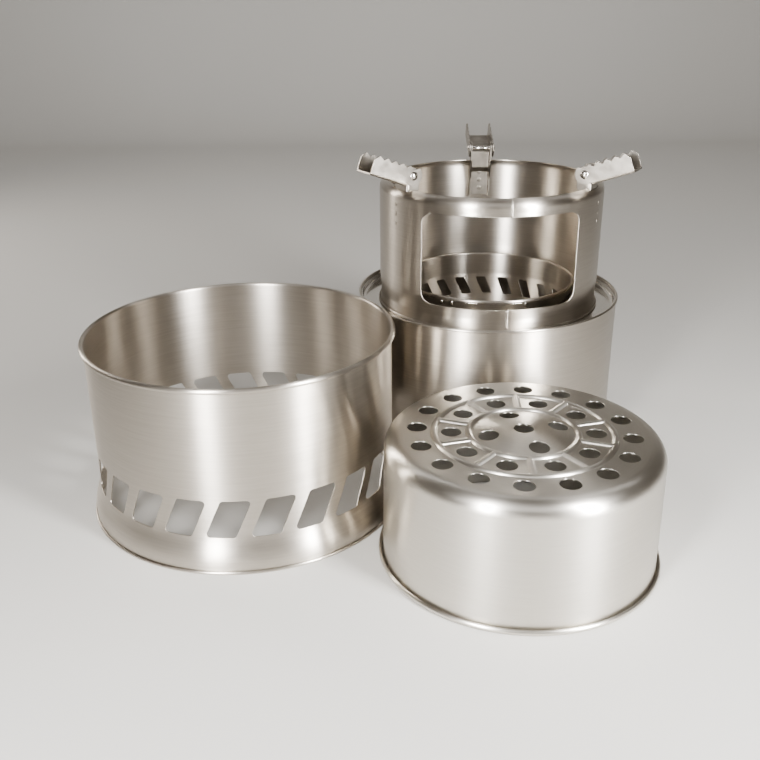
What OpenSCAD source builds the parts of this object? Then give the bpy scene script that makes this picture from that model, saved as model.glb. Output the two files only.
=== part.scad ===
// Twig stove in stainless sheet, standing in its separate pieces: a vented base,
// a fire bowl turned over, and a burner body that carries the pot ring with its folding arms

/* [Sheet] */
// Thickness of the spun shells
sheet_t = 0.6; // [0.4:0.05:0.8]
// Thickness of the strip that brackets and arms are folded from
strip_t = 0.8; // [0.6:0.05:1]

/* [Base] */
// Outer radius of the base's straight wall
base_r = 65.85; // [60:0.05:75]
// Height of the base to the top of its rim
base_h = 79.3; // [65:0.1:95]
// Radius of the rolled bead on the base's rim
base_bead_r = 1.2; // [0.9:0.05:1.5]
// How far the rim's bead stands out from the wall
base_bead_out = 1.6; // [1.2:0.05:1.8]
// How far the foot stands out from the wall
foot_flare = 3.3; // [2:0.1:5]
// Height of the straight band at the foot
foot_band_h = 3.5; // [2.5:0.1:6]
// Height at which the flare meets the straight wall
foot_flare_h = 18; // [14:0.5:24]
// Radius of the rolled lip under the foot
foot_lip_r = 0.9; // [0.7:0.05:1.2]
// How far the lip stands out from the foot
foot_lip_out = 0.6; // [0.4:0.05:0.8]
// Number of air vents round the base
vent_n = 23; // [12:1:24]
// Turn of the vents about the base's axis
vent_turn = 4.5; // [0:0.5:30]
// Height of the vents' lower edge
vent_z = 14.9; // [10:0.1:25]
// Height of one vent
vent_h = 16.4; // [8:0.1:24]
// Width of one vent
vent_w = 12.4; // [6:0.1:13]
// Sideways lean of a vent over its height
vent_lean = 7.3; // [0:0.1:8]
// Corner radius of a vent
vent_corner_r = 1.5; // [0.5:0.1:2.5]

/* [Fire bowl] */
// Outer radius of the bowl's wall at its lip
bowl_r = 55.5; // [50:0.05:58]
// How much the wall's radius shrinks towards the bottom plate
bowl_taper = 0.5; // [0:0.05:1.5]
// Height of the bowl to its bottom plate
bowl_h = 53.2; // [40:0.1:64]
// Radius of the rounded edge between wall and bottom plate
bowl_edge_r = 6.5; // [4:0.1:8]
// Radius of the rolled lip of the bowl
bowl_lip_r = 1.1; // [0.9:0.05:1.4]
// How far the bowl's lip stands out from its wall
bowl_lip_out = 1.9; // [1.4:0.05:2.1]
// Diameter of every air hole in the bottom plate
air_hole_d = 8; // [5:0.1:8.6]
// Flat land between the rounded edge and the outer row of air holes
edge_land = 2.4; // [1:0.1:4]
// Flat land between air holes and pressed beads
hole_land = 1.55; // [0.8:0.05:2]
// Number of air holes in the outer row
outer_row_n = 16; // [8:1:20]
// Turn of the outer row about the bowl's axis
outer_row_turn = 82; // [0:0.5:360]
// Number of air holes in the middle row, with a rib between each two
middle_row_n = 10; // [6:1:12]
// Turn of the middle row about the bowl's axis
middle_row_turn = 69.5; // [0:0.5:360]
// Number of air holes in the dome round the one at its centre
dome_row_n = 4; // [3:1:5]
// Turn of the dome's row about the bowl's axis
dome_row_turn = 15; // [0:0.5:360]
// Half the width of a pressed bead or rib
press_w = 1.3; // [0.9:0.05:1.5]
// Height of a pressed bead or rib
press_h = 1; // [0.5:0.05:1.2]
// Height of the dome at the middle of the bottom plate
dome_h = 2; // [0.5:0.1:3]

/* [Burner body] */
// Outer radius of the body's wall
body_r = 64.6; // [62:0.05:70]
// Height of the body to the top of its rim
body_h = 73.1; // [66:0.1:85]
// Radius of the thin rolled edge at the body's rim
body_bead_r = 0.7; // [0.6:0.05:0.9]
// Height of the folded hem that the body stands on
body_hem_h = 3; // [2:0.1:5]
// Depth of the deck below the rim
deck_drop = 4.5; // [4:0.1:8]
// Radius of the bends at the deck's two edges
deck_bend_r = 1.5; // [1:0.1:2]
// Outer radius of the collar in the middle of the deck
collar_r = 43.1; // [41:0.05:45]
// Height of the collar's rolled edge above the deck
collar_h = 11.4; // [8:0.1:14]
// Radius of the throat's rolled edge on top of the collar
throat_bead_r = 0.8; // [0.7:0.05:1]
// How far the throat hangs below the deck
throat_drop = 19; // [16:0.1:26]
// How far the throat narrows below the deck
throat_taper = 3; // [1:0.1:4]
// Number of slots in the throat
slot_n = 22; // [12:1:24]
// Turn of the slots about the throat's axis
slot_turn = 3.5; // [0:0.5:30]
// Distance from the deck down to the slots' upper edge
slot_drop = 2.1; // [1.5:0.1:3]
// Height of one slot
slot_h = 8.9; // [5:0.1:11]
// Width of one slot
slot_w = 5.3; // [2:0.1:6]
// Sideways lean of a slot over its height
slot_lean = 4.1; // [0:0.1:5]
// Corner radius of a slot
slot_corner_r = 0.5; // [0.2:0.1:0.8]

/* [Pot ring] */
// Outer radius of the pot ring's wall
ring_r = 54.3; // [51:0.05:56]
// Height of the pot ring
ring_h = 60.8; // [54:0.1:75]
// Radius of the rounded shoulder at the top of the ring
shoulder_r = 4; // [3:0.1:5]
// Radial width of the flat edge inside the shoulder
shoulder_edge_w = 0.3; // [0.2:0.05:0.8]
// Radius of the rolled lip under the ring
ring_lip_r = 0.8; // [0.7:0.05:1]
// How far the lip stands out from the ring's wall
ring_lip_out = 0.7; // [0.4:0.05:0.9]
// How far the waist above the lip is drawn in
waist_depth = 0.7; // [0.2:0.05:1]
// Height of the waist above the deck
waist_h = 5.5; // [4:0.1:6]
// Height at which the waist runs into the straight wall
waist_top_h = 14; // [9:0.1:16]
// Width of the feed window
window_w = 71.2; // [40:0.1:78]
// Distance from the ring's top down to the window's upper edge
window_drop = 7.7; // [5:0.1:20]
// Height of the window's lower edge above the deck
window_z = 10.6; // [9:0.1:12]
// Corner radius of the window
window_corner_r = 5; // [2:0.1:8]
// Depth of the notches in the ring's inner edge
notch_depth = 2.2; // [1.8:0.1:2.6]

/* [Folding arms] */
// Outside width of an arm's channel
arm_w = 13; // [11:0.1:15]
// Length of an arm from its pin to its tip
arm_len = 22.2; // [17:0.1:28]
// Distance from the pin down to the arm's web
arm_below = 5.4; // [5:0.1:6.2]
// Distance from the pin up to the tips of the teeth
arm_above = 4; // [3.4:0.1:4.2]
// Radius of the arm's round inner end
arm_end_r = 4.5; // [4.2:0.1:4.8]
// Slope of an arm that is spread
arm_slope = 20.5; // [15:0.5:26]
// Spacing of the teeth
tooth_pitch = 4.2; // [3:0.1:5]
// Depth of the teeth
tooth_depth = 1.6; // [0.8:0.1:2]
// Length cut off each tip's upper corner along the arm
tip_chamfer = 2.4; // [1:0.1:3]
// Distance of the pin inside the rim's inner edge
pin_inset = 1.5; // [1:0.1:2.5]
// Height of the pin above the ring's top
pin_rise = 6.2; // [6:0.1:8]
// Diameter of a rivet pin
pin_d = 2.4; // [2:0.1:2.6]
// Diameter of a rivet head
pin_head_d = 4; // [3.4:0.1:4.4]
// Height of a rivet head
pin_head_h = 0.9; // [0.6:0.05:1.2]
// Distance from the ring's top down to the bottom of a bracket
bracket_drop = 19.4; // [14:0.1:24]
// Height of a bracket's web above the ring's top
web_rise = 4; // [3:0.1:4.4]
// Radius of an ear's round top
ear_r = 3.6; // [3:0.1:3.8]
// Height below the ring's top over which the ears narrow to plain flanges
ear_taper_h = 10; // [6:0.5:13]
// Width of the flanges at the bottom of a bracket
flange_w = 4; // [3:0.1:6]

/* [Clearances] */
// Running clearance of a pin in an arm, on the radius
pin_run_gap = 0.05; // [0.02:0.01:0.1]
// Clearance of a pin in its bracket, on the radius
pin_hold_gap = 0.02; // [0.01:0.01:0.04]
// Gap between an arm and each ear of its bracket
ear_gap = 0.2; // [0.15:0.05:0.4]
// Gap between a rivet head and the arm
pin_head_gap = 0.1; // [0.05:0.05:0.2]
// Gap between a spread arm's web and its bracket
arm_rest_gap = 0.2; // [0.15:0.05:0.4]
// Gap between an arm and each side of the notch that it folds through
notch_gap = 0.3; // [0.2:0.05:0.6]
// Gap between a bracket and the ring's shoulder above and outside it
neck_gap = 0.2; // [0.1:0.05:0.3]
// Gap between two sheets that are spot-welded together
weld_gap = 0.04; // [0.02:0.01:0.1]

/* [Standing places] */
// Gap between the base's foot and the burner body
base_body_gap = 2.7; // [1:0.1:30]
// Gap between the base's foot and the bowl's lip
base_bowl_gap = 0.6; // [0.5:0.1:30]
// Gap between the bowl's lip and the burner body
bowl_body_gap = 3.9; // [1:0.1:30]
// Direction from the burner body to the bowl
bowl_direction = -89.4; // [-120:0.1:-60]

/* [Hidden] */

satin_steel = "#c4bfb6";
brushed_steel = "#b3ada3";
strip_steel = "#cbc8c2";

// Azimuths of the three arms round the ring
rear_azimuth = 90;
left_azimuth = 210;
right_azimuth = 330;

// Rounding of curves
round_fn = 180;
bead_fn = 32;
bend_steps = 6;
curve_steps = 10;
corner_steps = 4;
// Extra length by which a cutting tool passes a face
past = 2;

// Share of a lip's radius that its centre lies above the level cut under it
lip_stand = 0.75;

// Base
foot_r = base_r + foot_flare;
foot_out_r = foot_r + foot_lip_out;
foot_lip_z = lip_stand * foot_lip_r;

// Fire bowl
bowl_out_r = bowl_r + bowl_lip_out;
bowl_lip_z = lip_stand * bowl_lip_r;
bowl_top_r = bowl_r - bowl_taper;
hole_step = air_hole_d / 2 + hole_land + press_w;
outer_row_r = bowl_top_r - bowl_edge_r - edge_land - air_hole_d / 2;
outer_bead_r = outer_row_r - hole_step;
middle_row_r = outer_bead_r - hole_step;
inner_bead_r = middle_row_r - hole_step;
dome_row_r = inner_bead_r - hole_step;
dome_r = inner_bead_r - press_w;
rib_in_r = inner_bead_r + press_w;
rib_out_r = outer_bead_r - press_w;

// Burner body
body_out_r = body_r - sheet_t / 2 + body_bead_r;
body_in_r = body_r - sheet_t;
deck_z = body_h - deck_drop;
deck_flange_r = body_in_r - weld_gap - sheet_t;
deck_flange_top = body_h - 2 * body_bead_r - weld_gap;
throat_r = collar_r - sheet_t - weld_gap;
throat_bead_z = deck_z + collar_h - throat_bead_r;
throat_bead_out_r = collar_r - sheet_t + throat_bead_r;
collar_top = throat_bead_z - throat_bead_r - weld_gap;
slot_top = deck_z - slot_drop;
slot_z = slot_top - slot_h;

// Pot ring
ring_in_r = ring_r - sheet_t;
ring_top = deck_z + ring_h;
shoulder_center_r = ring_r - shoulder_r;
rim_in_r = shoulder_center_r - shoulder_edge_w;
waist_r = ring_r - waist_depth;
ring_lip_z = lip_stand * ring_lip_r;
window_top = ring_h - window_drop;

// Brackets: channels whose web steps in from the ring's wall to pass a notch in its shoulder
pin_r = pin_d / 2;
pivot_r = rim_in_r - pin_inset;
pivot_z = ring_top + pin_rise;
notch_r = rim_in_r + notch_depth;
notch_w = arm_w + 2 * notch_gap;
bracket_w = arm_w - 2 * (strip_t + ear_gap);
bracket_z = ring_top - bracket_drop;
web_out_r = ring_in_r - weld_gap;
web_in_r = web_out_r - strip_t;
neck_out_r = notch_r - neck_gap;
neck_in_r = neck_out_r - strip_t;
neck_z = ring_top - shoulder_r - neck_gap;
web_top = ring_top + web_rise;
web_from_pin = [neck_out_r - pivot_r, web_top - pivot_z];
ear_start = atan2(web_from_pin[1], web_from_pin[0]) + acos(ear_r / norm(web_from_pin));

// Arms: a spread arm's web stops at its bracket's web
arm_web_start =
    (web_from_pin[0] + arm_rest_gap - (arm_below - strip_t) * sin(arm_slope)) / cos(arm_slope);
arm_end_x = sqrt(arm_end_r ^ 2 - arm_above ^ 2);
tooth_n = floor((arm_len - tip_chamfer + arm_end_x) / tooth_pitch);
arm_reach_r = pivot_r + arm_len * cos(arm_slope) + arm_below * sin(arm_slope);
arm_reach_x = arm_reach_r * cos(right_azimuth) - arm_w / 2 * sin(right_azimuth);

// Standing places: the body, the bowl and the base form a triangle with the stated gaps
bowl_dist = body_out_r + bowl_out_r + bowl_body_gap;
base_dist = body_out_r + foot_out_r + base_body_gap;
base_bowl_dist = foot_out_r + bowl_out_r + base_bowl_gap;
base_turn = acos((base_dist ^ 2 + bowl_dist ^ 2 - base_bowl_dist ^ 2) / (2 * base_dist * bowl_dist));
base_direction = bowl_direction - base_turn;
bowl_from_body = bowl_dist * [cos(bowl_direction), sin(bowl_direction)];
base_from_body = base_dist * [cos(base_direction), sin(base_direction)];

// The origin lies on the table under the middle of all pieces
low_x = min(base_from_body[0] - foot_out_r, bowl_from_body[0] - bowl_out_r, -body_out_r, -arm_reach_x);
high_x = max(base_from_body[0] + foot_out_r, bowl_from_body[0] + bowl_out_r, body_out_r, arm_reach_x);
low_y = min(base_from_body[1] - foot_out_r, bowl_from_body[1] - bowl_out_r, -body_out_r);
high_y = max(base_from_body[1] + foot_out_r, bowl_from_body[1] + bowl_out_r, body_out_r, arm_reach_r);
body_place = -[low_x + high_x, low_y + high_y] / 2;
bowl_place = body_place + bowl_from_body;
base_place = body_place + base_from_body;

// Value that eases from a to b as k goes from 0 to 1, level at both ends
function ease(a, b, k) = a + (b - a) * (1 - cos(180 * k)) / 2;

// Points of an arc about c from angle a0 to a1
function arc(c, r, a0, a1, steps) =
    [for (k = [0:steps]) let (a = a0 + (a1 - a0) * k / steps) c + r * [cos(a), sin(a)]];

// Unit normal to the left of a path at its point i
function left_normal(path, i) =
    let (d = path[min(i + 1, len(path) - 1)] - path[max(i - 1, 0)]) [-d[1], d[0]] / norm(d);

// Outline of a sheet whose face follows the path and whose body lies to the path's left
function skin(path, t) =
    concat(path, [for (i = [len(path) - 1:-1:0]) path[i] + t * left_normal(path, i)]);

// Arc that rounds corner p of an outline that runs anticlockwise from a over p to b
function corner(a, p, b, r) =
    let (
        u = (a - p) / norm(a - p),
        v = (b - p) / norm(b - p),
        half = acos(u * v) / 2,
        c = p + (u + v) / norm(u + v) * r / sin(half),
        start = p + u * r / tan(half) - c,
        a0 = atan2(start[1], start[0])
    ) arc(c, r, a0, a0 + 180 - 2 * half, corner_steps);

// Outline with every corner rounded to radius r
function rounded(points, r) =
    let (n = len(points))
    [for (i = [0:n - 1]) each corner(points[(i + n - 1) % n], points[i], points[(i + 1) % n], r)];

// Rounded parallelogram of width w from height z up by h, leaning sideways by lean
function leaning(w, z, h, lean, r) =
    let (low = 2 * z, high = 2 * (z + h))
    rounded([[-w - lean, low], [w - lean, low], [w + lean, high], [lean - w, high]] / 2, r);

// Lift of a pressed bead at radius c
function bead_lift(r, c) = abs(r - c) < press_w ? press_h * (1 + cos(180 * (r - c) / press_w)) / 2 : 0;

// Height of the bowl's bottom plate at radius r
function plate_z(r) =
    bowl_h + bead_lift(r, outer_bead_r) + bead_lift(r, inner_bead_r)
    + (r < dome_r ? dome_h * (1 - (r / dome_r) ^ 2) : 0);

// Radii across a pressed bead, from its outer to its inner edge
function bead_radii(c) = [for (k = [0:bend_steps]) c + press_w * (1 - 2 * k / bend_steps)];

// Ring of revolution from the outline drawn by the children
module spun() {
    rotate_extrude($fn = round_fn) children();
}

// Rolled bead of radius r at height z, reaching out to out_r, cut level where it reaches below height 0
module bead(out_r, z, r) {
    intersection() {
        translate([out_r - r, z]) circle(r, $fn = bead_fn);
        translate([out_r - 3 * r, 0]) square([4 * r, z + 2 * r]);
    }
}

// Copies of a cutter through a wall between radii r0 and r1, n of them round the axis
module pierced_row(n, turn, r0, r1, outline) {
    for (i = [0:n - 1])
        rotate(turn + 360 * i / n)
            rotate([90, 0, 90])
                translate([0, 0, r0]) linear_extrude(r1 - r0) polygon(outline);
}

module base_shell() {
    wall = concat(
        [[foot_r, foot_lip_z]],
        [for (i = [0:curve_steps]) let (k = i / curve_steps)
            [ease(foot_r, base_r, k), foot_band_h + (foot_flare_h - foot_band_h) * k]],
        [[base_r, base_h - base_bead_r]]);
    color(brushed_steel)
        translate(base_place)
            difference() {
                spun() {
                    polygon(skin(wall, sheet_t));
                    bead(base_r + base_bead_out, base_h - base_bead_r, base_bead_r);
                    bead(foot_out_r, foot_lip_z, foot_lip_r);
                }
                pierced_row(vent_n, vent_turn, base_r - past, foot_r + past,
                    leaning(vent_w, vent_z, vent_h, vent_lean, vent_corner_r));
            }
}

module air_holes(n, r, turn) {
    for (i = [0:n - 1])
        rotate(turn + 360 * i / n)
            translate([r, 0, bowl_h - past]) cylinder(d = air_hole_d, h = dome_h + 2 * past, $fn = bead_fn);
}

module fire_bowl() {
    plate_radii = concat(
        bead_radii(outer_bead_r), bead_radii(inner_bead_r),
        [for (k = [1:bend_steps]) dome_r + (air_hole_d / 2 - dome_r) * k / bend_steps]);
    wall = concat(
        [[bowl_r, bowl_lip_z]],
        arc([bowl_top_r - bowl_edge_r, bowl_h - bowl_edge_r], bowl_edge_r, 0, 90, curve_steps),
        [for (r = plate_radii) [r, plate_z(r)]]);
    color(satin_steel)
        translate(bowl_place)
            difference() {
                union() {
                    spun() {
                        polygon(skin(wall, sheet_t));
                        bead(bowl_out_r, bowl_lip_z, bowl_lip_r);
                    }
                    for (i = [0:middle_row_n - 1])
                        rotate(middle_row_turn + 360 * (i + 0.5) / middle_row_n) rib();
                }
                air_holes(outer_row_n, outer_row_r, outer_row_turn);
                air_holes(middle_row_n, middle_row_r, middle_row_turn);
                air_holes(dome_row_n, dome_row_r, dome_row_turn);
            }
}

// Radial rib: the top of a round bar that lies in the bottom plate
module rib() {
    bar_r = (press_w ^ 2 + press_h ^ 2) / (2 * press_h);
    intersection() {
        translate([rib_in_r, 0, bowl_h + press_h - bar_r])
            rotate([0, 90, 0]) cylinder(r = bar_r, h = rib_out_r - rib_in_r, $fn = bead_fn);
        translate([0, -press_w, bowl_h - sheet_t / 2]) cube([rib_out_r, 2 * press_w, 2 * press_h]);
    }
}

module body_shell() {
    color(brushed_steel)
        translate(body_place)
            spun() {
                translate([body_in_r, 0]) square([sheet_t, body_h - body_bead_r]);
                translate([body_in_r - sheet_t, 0]) square([sheet_t, body_hem_h]);
                bead(body_out_r, body_h - body_bead_r, body_bead_r);
            }
}

module body_deck() {
    face = concat(
        [[deck_flange_r, deck_flange_top]],
        arc([deck_flange_r - deck_bend_r, deck_z + deck_bend_r], deck_bend_r, 0, -90, bend_steps),
        arc([collar_r + deck_bend_r, deck_z + deck_bend_r], deck_bend_r, -90, -180, bend_steps),
        [[collar_r, collar_top]]);
    color(satin_steel) translate(body_place) spun() polygon(skin(face, sheet_t));
}

module burner_throat() {
    wall = [
        [throat_r - throat_taper, deck_z - throat_drop],
        [throat_r, deck_z],
        [throat_r, throat_bead_z]
    ];
    color(brushed_steel)
        translate(body_place)
            difference() {
                spun() {
                    polygon(skin(wall, sheet_t));
                    bead(throat_bead_out_r, throat_bead_z, throat_bead_r);
                }
                pierced_row(slot_n, slot_turn, throat_r - throat_taper - past, throat_r + past,
                    leaning(slot_w, slot_z, slot_h, slot_lean, slot_corner_r));
            }
}

module pot_ring() {
    wall = concat(
        [for (k = [0:bend_steps])
            [ease(ring_r, waist_r, k / bend_steps), ease(ring_lip_z, waist_h, k / bend_steps)]],
        [for (k = [1:curve_steps])
            [ease(waist_r, ring_r, k / curve_steps), waist_h + (waist_top_h - waist_h) * k / curve_steps]],
        arc([shoulder_center_r, ring_h - shoulder_r], shoulder_r, 0, 90, curve_steps),
        [[rim_in_r, ring_h]]);
    window = [
        [-window_w / 2, window_z], [window_w / 2, window_z],
        [window_w / 2, window_top], [-window_w / 2, window_top]
    ];
    color(brushed_steel)
        translate([body_place[0], body_place[1], deck_z])
            difference() {
                spun() {
                    polygon(skin(wall, sheet_t));
                    bead(ring_r + ring_lip_out, ring_lip_z, ring_lip_r);
                }
                rotate([90, 0, 0]) linear_extrude(ring_r + past) polygon(rounded(window, window_corner_r));
                for (azimuth = [rear_azimuth, left_azimuth, right_azimuth])
                    rotate(azimuth) notch();
            }
}

// Cutter for the notch that a bracket passes and its arm folds into
module notch() {
    intersection() {
        cylinder(r = notch_r, h = ring_h + past, $fn = round_fn);
        translate([0, -notch_w / 2, ring_h - shoulder_r]) cube([ring_r, notch_w, 2 * shoulder_r]);
    }
}

// Puts the children, drawn with the arm pointing along +X from the ring's axis, at an arm's azimuth
module round_ring(azimuth) {
    translate(body_place) rotate(azimuth) children();
}

// Strip of thickness strip_t standing in the XZ plane at distance y from it
module strip(y) {
    translate([0, y, 0]) rotate([90, 0, 0]) linear_extrude(strip_t, center = true) children();
}

module ear() {
    pivot = [pivot_r, pivot_z];
    flange_in_r = web_out_r - flange_w;
    difference() {
        polygon(concat(
            [[flange_in_r, bracket_z], [web_out_r, bracket_z], [web_out_r, neck_z],
             [neck_out_r, neck_z], [neck_out_r, web_top]],
            arc(pivot, ear_r, ear_start, 180, curve_steps),
            [[pivot_r - ear_r, ring_top], [flange_in_r, ring_top - ear_taper_h]]));
        translate(pivot) circle(pin_r + pin_hold_gap, $fn = bead_fn);
    }
}

module bracket() {
    bend_z = neck_z - strip_t;
    top = pivot_z + 2 * ear_r;
    color(strip_steel) {
        intersection() {
            spun() polygon([
                [web_in_r, bracket_z], [web_out_r, bracket_z], [web_out_r, neck_z], [neck_out_r, neck_z],
                [neck_out_r, web_top], [neck_in_r, web_top], [neck_in_r, bend_z], [web_in_r, bend_z]
            ]);
            translate([0, -bracket_w / 2, 0]) cube([web_out_r, bracket_w, top]);
        }
        intersection() {
            spun() polygon([
                [0, bracket_z], [web_out_r, bracket_z], [web_out_r, neck_z], [neck_out_r, neck_z],
                [neck_out_r, top], [0, top]
            ]);
            for (side = [-1, 1])
                strip(side * (bracket_w - strip_t) / 2) ear();
        }
    }
}

module pin() {
    half = arm_w / 2 + pin_head_gap;
    head_r = pin_head_d / 2;
    dome = (head_r ^ 2 + pin_head_h ^ 2) / (2 * pin_head_h);
    dome_a = asin(head_r / dome);
    head = arc([0, half + pin_head_h - dome], dome, 90 - dome_a, 90, bend_steps);
    tail = [for (i = [bend_steps:-1:0]) [head[i][0], -head[i][1]]];
    color(strip_steel)
        translate([pivot_r, 0, pivot_z])
            rotate([90, 0, 0])
                spun() polygon(concat(tail, [[pin_r, -half], [pin_r, half]], head));
}

module arm_side() {
    end_a = 180 - asin(arm_above / arm_end_r);
    crest = arm_len - tip_chamfer;
    teeth = [for (k = [0:tooth_n - 1]) each [
        [crest - k * tooth_pitch, arm_above],
        [crest - (k + 0.5) * tooth_pitch, arm_above - tooth_depth]
    ]];
    difference() {
        polygon(concat(
            [[arm_web_start, -arm_below], [arm_len, -arm_below], [arm_len, arm_above - tip_chamfer]],
            teeth,
            arc([0, 0], arm_end_r, end_a, 270, curve_steps)));
        circle(pin_r + pin_run_gap, $fn = bead_fn);
    }
}

module arm() {
    color(strip_steel)
        translate([pivot_r, 0, pivot_z])
            rotate([0, -arm_slope, 0]) {
                for (side = [-1, 1])
                    strip(side * (arm_w - strip_t) / 2) arm_side();
                translate([arm_web_start, -arm_w / 2, -arm_below])
                    cube([arm_len - arm_web_start, arm_w, strip_t]);
            }
}

module bracket_rear() { round_ring(rear_azimuth) bracket(); }
module bracket_left() { round_ring(left_azimuth) bracket(); }
module bracket_right() { round_ring(right_azimuth) bracket(); }
module pin_rear() { round_ring(rear_azimuth) pin(); }
module pin_left() { round_ring(left_azimuth) pin(); }
module pin_right() { round_ring(right_azimuth) pin(); }
module arm_rear() { round_ring(rear_azimuth) arm(); }
module arm_left() { round_ring(left_azimuth) arm(); }
module arm_right() { round_ring(right_azimuth) arm(); }

base_shell();
fire_bowl();
body_shell();
body_deck();
burner_throat();
pot_ring();
bracket_rear();
bracket_left();
bracket_right();
pin_rear();
pin_left();
pin_right();
arm_rear();
arm_left();
arm_right();
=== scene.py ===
import math

import bmesh
import bpy
import numpy as np
from mathutils import Matrix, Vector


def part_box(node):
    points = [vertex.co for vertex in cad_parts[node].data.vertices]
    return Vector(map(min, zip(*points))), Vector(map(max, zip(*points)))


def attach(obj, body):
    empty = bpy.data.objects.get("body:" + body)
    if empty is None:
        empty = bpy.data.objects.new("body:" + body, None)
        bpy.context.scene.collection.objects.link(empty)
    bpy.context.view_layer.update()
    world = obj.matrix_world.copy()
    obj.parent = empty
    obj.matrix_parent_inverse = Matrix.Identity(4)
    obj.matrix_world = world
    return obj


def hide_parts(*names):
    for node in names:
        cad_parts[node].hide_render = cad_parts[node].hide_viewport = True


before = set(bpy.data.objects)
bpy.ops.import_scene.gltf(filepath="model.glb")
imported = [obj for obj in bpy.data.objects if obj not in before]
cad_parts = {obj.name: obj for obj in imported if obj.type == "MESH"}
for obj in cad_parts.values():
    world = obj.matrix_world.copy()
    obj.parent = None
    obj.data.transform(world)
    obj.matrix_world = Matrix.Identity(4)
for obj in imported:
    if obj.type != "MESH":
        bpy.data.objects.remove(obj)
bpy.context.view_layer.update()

# Twig stove in spun and folded stainless sheet. Sizes are in millimetres, angles in degrees.
MM = 0.001

# Sheets, and their cut edges, which are rounded where the sheet turns by more than an angle
SHEET_T = 0.6
STRIP_T = 0.8
CUT_EDGE_R = 0.1
RING_EDGE_R = 0.24
CUT_EDGE_ANGLE = 80
CUT_EDGE_STEPS = 3
# Turn of a rolled edge
CURL_TURN = 255

# Steps of the meshes: round a spun piece, along a cell's side, across a rib or bead, over a curl or round
# end, over a bend, along a straight run and up a drawn wall
SPUN_STEPS = 240
SIDE_STEPS = 16
RIB_STEPS = 8
CURL_STEPS = 24
BEND_STEPS = 8
RUN_STEPS = 6
WALL_STEPS = 12
# Steps along a pin's shank, rows of a bracket, and columns of the pot ring over a notch and between notches
SHANK_STEPS = 2
BRACKET_ROWS = 48
NOTCH_COLUMNS = 13
RING_COLUMNS = 90
# Places of a cell's rows, as shares of the way from its hole to its border
CELL_SHARES = (0, 0.05, 0.2, 0.5, 1)
PLATE_SHARES = (0, 0.06, 0.2, 0.45, 0.75, 1)
# Distance of the mesh row next to a bend, which keeps the flat beyond it flat to the eye
BEND_LAND = 0.4
# Points closer than this are joined
JOIN_MM = 0.002

# Vented base
BASE_R = 65.85
BASE_RIM_R = 1.1
FOOT_FLARE = 3.3
FOOT_BAND_H = 3.5
FOOT_FLARE_H = 18
FOOT_LIP_R = 0.7
VENT_N = 23
VENT_TURN = 4.5
VENT_Z = 14.9
VENT_H = 16.4
VENT_W = 12.4
VENT_LEAN = 7.3
VENT_CORNER_R = 1.5
VENT_MARGIN = 2.6

# Fire bowl
BOWL_R = 55.5
BOWL_TAPER = 0.5
BOWL_H = 53.2
BOWL_EDGE_R = 6.5
BOWL_LIP_R = 1.25
AIR_HOLE_R = 4
EDGE_LAND = 2.4
HOLE_LAND = 1.55
OUTER_ROW_N = 16
OUTER_ROW_TURN = 82
MIDDLE_ROW_N = 10
MIDDLE_ROW_TURN = 69.5
DOME_ROW_N = 4
DOME_ROW_TURN = 15
PRESS_W = 1.3
PRESS_H = 1
DOME_H = 2

# Burner body
BODY_R = 64.6
BODY_RIM_R = 0.65
BODY_HEM_H = 3
HEM_FOLD_R = 0.05
DECK_DROP = 4.5
DECK_BEND_R = 1.5
COLLAR_R = 43.1
COLLAR_H = 11.4
WELD_GAP = 0.04
THROAT_RIM_R = 0.72
THROAT_DROP = 19
THROAT_TAPER = 3
SLOT_N = 22
SLOT_TURN = 3.5
SLOT_DROP = 2.1
SLOT_H = 8.9
SLOT_W = 5.3
SLOT_LEAN = 4.1
SLOT_CORNER_R = 0.5
SLOT_MARGIN = 1.2

# Pot ring
RING_R = 54.3
SHOULDER_R = 4
SHOULDER_EDGE_W = 0.3
RING_LIP_R = 0.65
WAIST_DEPTH = 0.7
WAIST_H = 5.5
WAIST_TOP_H = 14
WINDOW_W = 71.2
WINDOW_DROP = 7.7
WINDOW_Z = 10.6
WINDOW_CORNER_R = 5
WINDOW_MARGIN = 1.6
WINDOW_DIRECTION = -90
WINDOW_HALF_CELL = 50

# Folding arms, their brackets and rivet pins
SIDES = ("left", "right", "rear")
ARM_W = 13
ARM_LEN = 22.2
ARM_BELOW = 5.4
ARM_ABOVE = 4
ARM_END_R = 4.5
ARM_SLOPE = 20.5
STRIP_BEND_R = 1.3
TOOTH_N = 5
TOOTH_PITCH = 4.2
TOOTH_DEPTH = 1.6
TOOTH_ROUND = 0.25
TIP_CHAMFER = 2.4
PIN_R = 1.2
PIN_HEAD_R = 2
PIN_HEAD_H = 0.9
PIN_RUN_GAP = 0.05
PIN_HOLD_GAP = 0.02
PIN_HEAD_GAP = 0.1
EAR_GAP = 0.2
EAR_R = 3.6
ARM_REST_GAP = 0.2
NOTCH_GAP = 0.3
NOTCH_DEPTH = 2.2
NECK_GAP = 0.2
NECK_STEP = 3
BRACKET_DROP = 19.4
WEB_RISE = 4
EAR_TAPER_H = 10
FLANGE_W = 4

# Marks of welding: spot welds in rows at the brackets and on the collar, and the ring's upright seam
SPOT_R = 1.1
SPOT_H = 0.18
SPOT_DROPS = (7.1, 11.4, 15.7)
COLLAR_SPOT_Z = 8.7
COLLAR_SPOTS = (233.5, 240.7, 288.6)
SEAM_DIRECTION = 273.4
SEAM_TOP_ANGLE = 80
SEAM_W = 1.1
SEAM_H = 0.12


def corners_of(node):
    """Lowest and highest corner of a node at rest, in mm."""
    return np.array([list(corner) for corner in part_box(node)]) / MM


def axis_of(node):
    """Upright axis of a spun node, in plan: the middle of its box."""
    return corners_of(node).mean(axis=0)[:2]


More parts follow.
